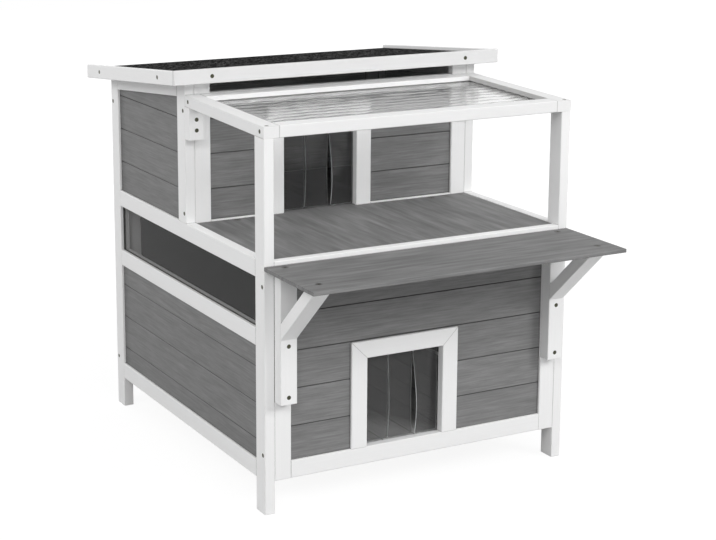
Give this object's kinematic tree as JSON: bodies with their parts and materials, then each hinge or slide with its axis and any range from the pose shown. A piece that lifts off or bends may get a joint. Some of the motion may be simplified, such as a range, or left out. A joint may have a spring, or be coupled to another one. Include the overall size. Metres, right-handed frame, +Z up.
{
  "type": "outdoor cat house",
  "caption": "Outdoor timber cat house: two cabins with strip-curtain doorways, terrace under a ribbed clear canopy, front shelf on struts, felt roof that opens.",
  "frame": {"origin": "on the ground, under the middle of the whole outline", "axes": "+Z up, the front with the doorways and the shelf faces -Y, +X to the right seen from the front"},
  "size_m": [0.83, 1.099, 0.8928],
  "materials": {
    "white_paint": "white water-based paint on fir battens, satin",
    "grey_planks": "grey stained fir planks, matt, grain showing",
    "grey_boards": "grey stained fir boards, matt",
    "bare_fir": "bare planed fir",
    "mineral_felt": "black mineral-surfaced bitumen felt, rough",
    "clear_ribbed_sheet": "clear corrugated polycarbonate, gloss",
    "clear_pane": "clear acrylic sheet, gloss",
    "clear_pvc_strip": "clear flexible PVC, gloss",
    "zinc_screws": "yellowish zinc-plated steel",
    "zinc_hinges": "bright zinc-plated steel"
  },
  "bodies": {
    "house": {"left_front_post": "white_paint", "left_back_post": "white_paint", "left_rails": "white_paint", "left_upper_frame": "white_paint", "left_lower_planks": "grey_planks", "left_upper_planks": "grey_planks", "left_window_pane": "clear_pane", "right_front_post": "white_paint", "right_back_post": "white_paint", "right_rails": "white_paint", "right_upper_frame": "white_paint", "right_lower_planks": "grey_planks", "right_upper_planks": "grey_planks", "right_window_pane": "clear_pane", "front_left_stile": "white_paint", "front_right_stile": "white_paint", "front_bottom_rail": "white_paint", "front_deck_rail": "white_paint", "front_planks": "grey_planks", "lower_door_trim": "white_paint", "upper_left_stile": "white_paint", "upper_right_stile": "white_paint", "upper_top_rail": "white_paint", "upper_sill_strip": "white_paint", "upper_front_planks": "grey_planks", "upper_door_trim": "white_paint", "back_frame": "white_paint", "back_planks": "grey_planks", "floor_board": "grey_boards", "floor_bearers": "bare_fir", "deck_board": "grey_boards", "deck_ledgers": "bare_fir", "canopy_frame": "white_paint", "canopy_sheet": "clear_ribbed_sheet", "left_canopy_cleat": "white_paint", "right_canopy_cleat": "white_paint", "shelf_board": "grey_boards", "left_bracket_board": "white_paint", "right_bracket_board": "white_paint", "left_bracket_strut": "white_paint", "right_bracket_strut": "white_paint", "hinge_wall_leaves": "zinc_hinges", "hinge_pins": "zinc_hinges", "house_screws": "zinc_screws", "lower_curtain_batten": "white_paint", "upper_curtain_batten": "white_paint"},
    "roof": {"roof_board": "grey_boards", "roof_felt": "mineral_felt", "front_fascia": "white_paint", "back_fascia": "white_paint", "left_fascia": "white_paint", "right_fascia": "white_paint", "hinge_roof_leaves": "zinc_hinges", "roof_screws": "zinc_screws"},
    "lower_strip_left_flap": {"lower_strip_left": "clear_pvc_strip"},
    "lower_strip_middle_flap": {"lower_strip_middle": "clear_pvc_strip"},
    "lower_strip_right_flap": {"lower_strip_right": "clear_pvc_strip"},
    "upper_strip_left_flap": {"upper_strip_left": "clear_pvc_strip"},
    "upper_strip_middle_flap": {"upper_strip_middle": "clear_pvc_strip"},
    "upper_strip_right_flap": {"upper_strip_right": "clear_pvc_strip"}
  },
  "joints": [
    {"name": "roof_hinge", "type": "hinge", "parent": "house", "child": "roof", "pos_m": [0, 0.5008, 0.82043], "axis": [-1, 0, 0], "range_deg": [0, 75]},
    {"name": "lower_strip_left_swing", "type": "hinge", "parent": "house", "child": "lower_strip_left_flap", "pos_m": [-0.10033, -0.3095, 0.3052], "axis": [-1, 0, 0], "range_deg": [-75, 75]},
    {"name": "lower_strip_middle_swing", "type": "hinge", "parent": "house", "child": "lower_strip_middle_flap", "pos_m": [-0.038, -0.3095, 0.3052], "axis": [-1, 0, 0], "range_deg": [-75, 75]},
    {"name": "lower_strip_right_swing", "type": "hinge", "parent": "house", "child": "lower_strip_right_flap", "pos_m": [0.02433, -0.3095, 0.3052], "axis": [-1, 0, 0], "range_deg": [-75, 75]},
    {"name": "upper_strip_left_swing", "type": "hinge", "parent": "house", "child": "upper_strip_left_flap", "pos_m": [-0.10033, 0.0825, 0.7387], "axis": [-1, 0, 0], "range_deg": [-75, 75]},
    {"name": "upper_strip_middle_swing", "type": "hinge", "parent": "house", "child": "upper_strip_middle_flap", "pos_m": [-0.038, 0.0825, 0.7387], "axis": [-1, 0, 0], "range_deg": [-75, 75]},
    {"name": "upper_strip_right_swing", "type": "hinge", "parent": "house", "child": "upper_strip_right_flap", "pos_m": [0.02433, 0.0825, 0.7387], "axis": [-1, 0, 0], "range_deg": [-75, 75]}
  ]
}
